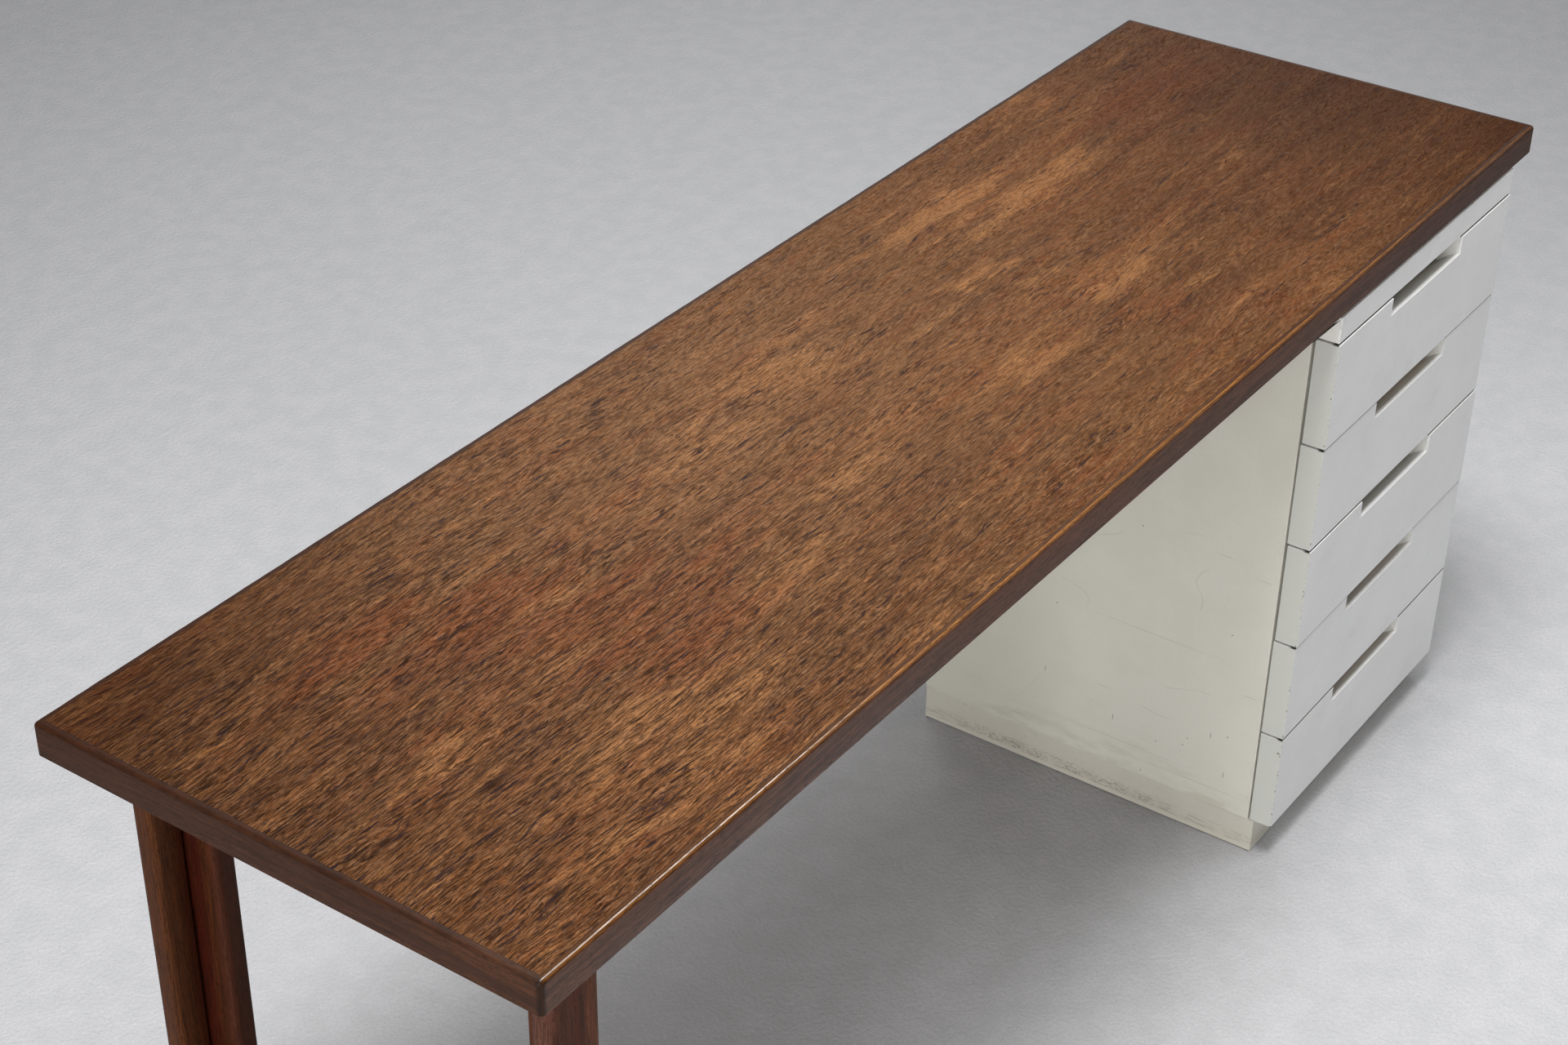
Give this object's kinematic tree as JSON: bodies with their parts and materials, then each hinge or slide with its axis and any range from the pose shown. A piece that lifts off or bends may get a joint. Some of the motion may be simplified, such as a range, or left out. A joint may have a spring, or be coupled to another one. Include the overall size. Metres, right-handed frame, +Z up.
{
  "type": "writing desk",
  "caption": "Long writing desk with a dark veneered top on two angle-section legs and a white pedestal of drawers with finger notches.",
  "frame": {"origin": "on the floor under the middle of the top's outline", "axes": "+X along the desk towards the pedestal, -Y towards the person who sits at it, +Z up"},
  "size_m": [1.7, 0.5, 0.72],
  "materials": {
    "tabletop_veneer": "open-pored dark brown hardwood veneer, satin lacquer",
    "backing_veneer": "plain dark veneer, thin lacquer",
    "core_board": "raw blockboard",
    "edge_lipping": "solid dark hardwood, satin",
    "leg_wood": "solid brown hardwood, oiled",
    "block_wood": "raw beech",
    "glide_plastic": "hard black plastic",
    "carcass_lacquer": "satin off-white lacquer",
    "front_lacquer": "satin white lacquer",
    "plinth_lacquer": "satin cream lacquer, worn",
    "drawer_wood": "clear-lacquered beech",
    "drawer_plywood": "birch plywood",
    "runner_wood": "waxed hard beech",
    "dowel_wood": "raw beech",
    "screw_steel": "zinc-plated steel"
  },
  "bodies": {
    "desk": {"carcass_dowels": "dowel_wood", "leg_back_corner_block": "block_wood", "leg_back_cross_board": "leg_wood", "leg_back_through_board": "leg_wood", "leg_block_screws": "screw_steel", "leg_front_corner_block": "block_wood", "leg_front_cross_board": "leg_wood", "leg_front_through_board": "leg_wood", "leg_glides": "glide_plastic", "lipping_back": "edge_lipping", "lipping_front": "edge_lipping", "lipping_left": "edge_lipping", "lipping_right": "edge_lipping", "pedestal_back_panel": "carcass_lacquer", "pedestal_bottom_panel": "carcass_lacquer", "pedestal_left_side": "carcass_lacquer", "pedestal_right_side": "carcass_lacquer", "pedestal_top_panel": "carcass_lacquer", "pedestal_top_screws": "screw_steel", "pedestal_top_strip": "carcass_lacquer", "plinth_back": "plinth_lacquer", "plinth_front": "plinth_lacquer", "plinth_left": "plinth_lacquer", "plinth_right": "plinth_lacquer", "runner_screws": "screw_steel", "runners_left": "runner_wood", "runners_right": "runner_wood", "top_backing_veneer": "backing_veneer", "top_core": "core_board", "top_veneer": "tabletop_veneer"},
    "drawer_1": {"drawer_1_back": "drawer_wood", "drawer_1_bottom": "drawer_plywood", "drawer_1_box_front": "drawer_wood", "drawer_1_front": "front_lacquer", "drawer_1_left_side": "drawer_wood", "drawer_1_right_side": "drawer_wood"},
    "drawer_2": {"drawer_2_back": "drawer_wood", "drawer_2_bottom": "drawer_plywood", "drawer_2_box_front": "drawer_wood", "drawer_2_front": "front_lacquer", "drawer_2_left_side": "drawer_wood", "drawer_2_right_side": "drawer_wood"},
    "drawer_3": {"drawer_3_back": "drawer_wood", "drawer_3_bottom": "drawer_plywood", "drawer_3_box_front": "drawer_wood", "drawer_3_front": "front_lacquer", "drawer_3_left_side": "drawer_wood", "drawer_3_right_side": "drawer_wood"},
    "drawer_4": {"drawer_4_back": "drawer_wood", "drawer_4_bottom": "drawer_plywood", "drawer_4_box_front": "drawer_wood", "drawer_4_front": "front_lacquer", "drawer_4_left_side": "drawer_wood", "drawer_4_right_side": "drawer_wood"},
    "drawer_5": {"drawer_5_back": "drawer_wood", "drawer_5_bottom": "drawer_plywood", "drawer_5_box_front": "drawer_wood", "drawer_5_front": "front_lacquer", "drawer_5_left_side": "drawer_wood", "drawer_5_right_side": "drawer_wood"}
  },
  "joints": [
    {"name": "drawer_1_slide", "type": "slide", "parent": "desk", "child": "drawer_1", "axis": [0, -1, 0], "range_m": [0, 0.3]},
    {"name": "drawer_2_slide", "type": "slide", "parent": "desk", "child": "drawer_2", "axis": [0, -1, 0], "range_m": [0, 0.3]},
    {"name": "drawer_3_slide", "type": "slide", "parent": "desk", "child": "drawer_3", "axis": [0, -1, 0], "range_m": [0, 0.3]},
    {"name": "drawer_4_slide", "type": "slide", "parent": "desk", "child": "drawer_4", "axis": [0, -1, 0], "range_m": [0, 0.3]},
    {"name": "drawer_5_slide", "type": "slide", "parent": "desk", "child": "drawer_5", "axis": [0, -1, 0], "range_m": [0, 0.3]}
  ]
}
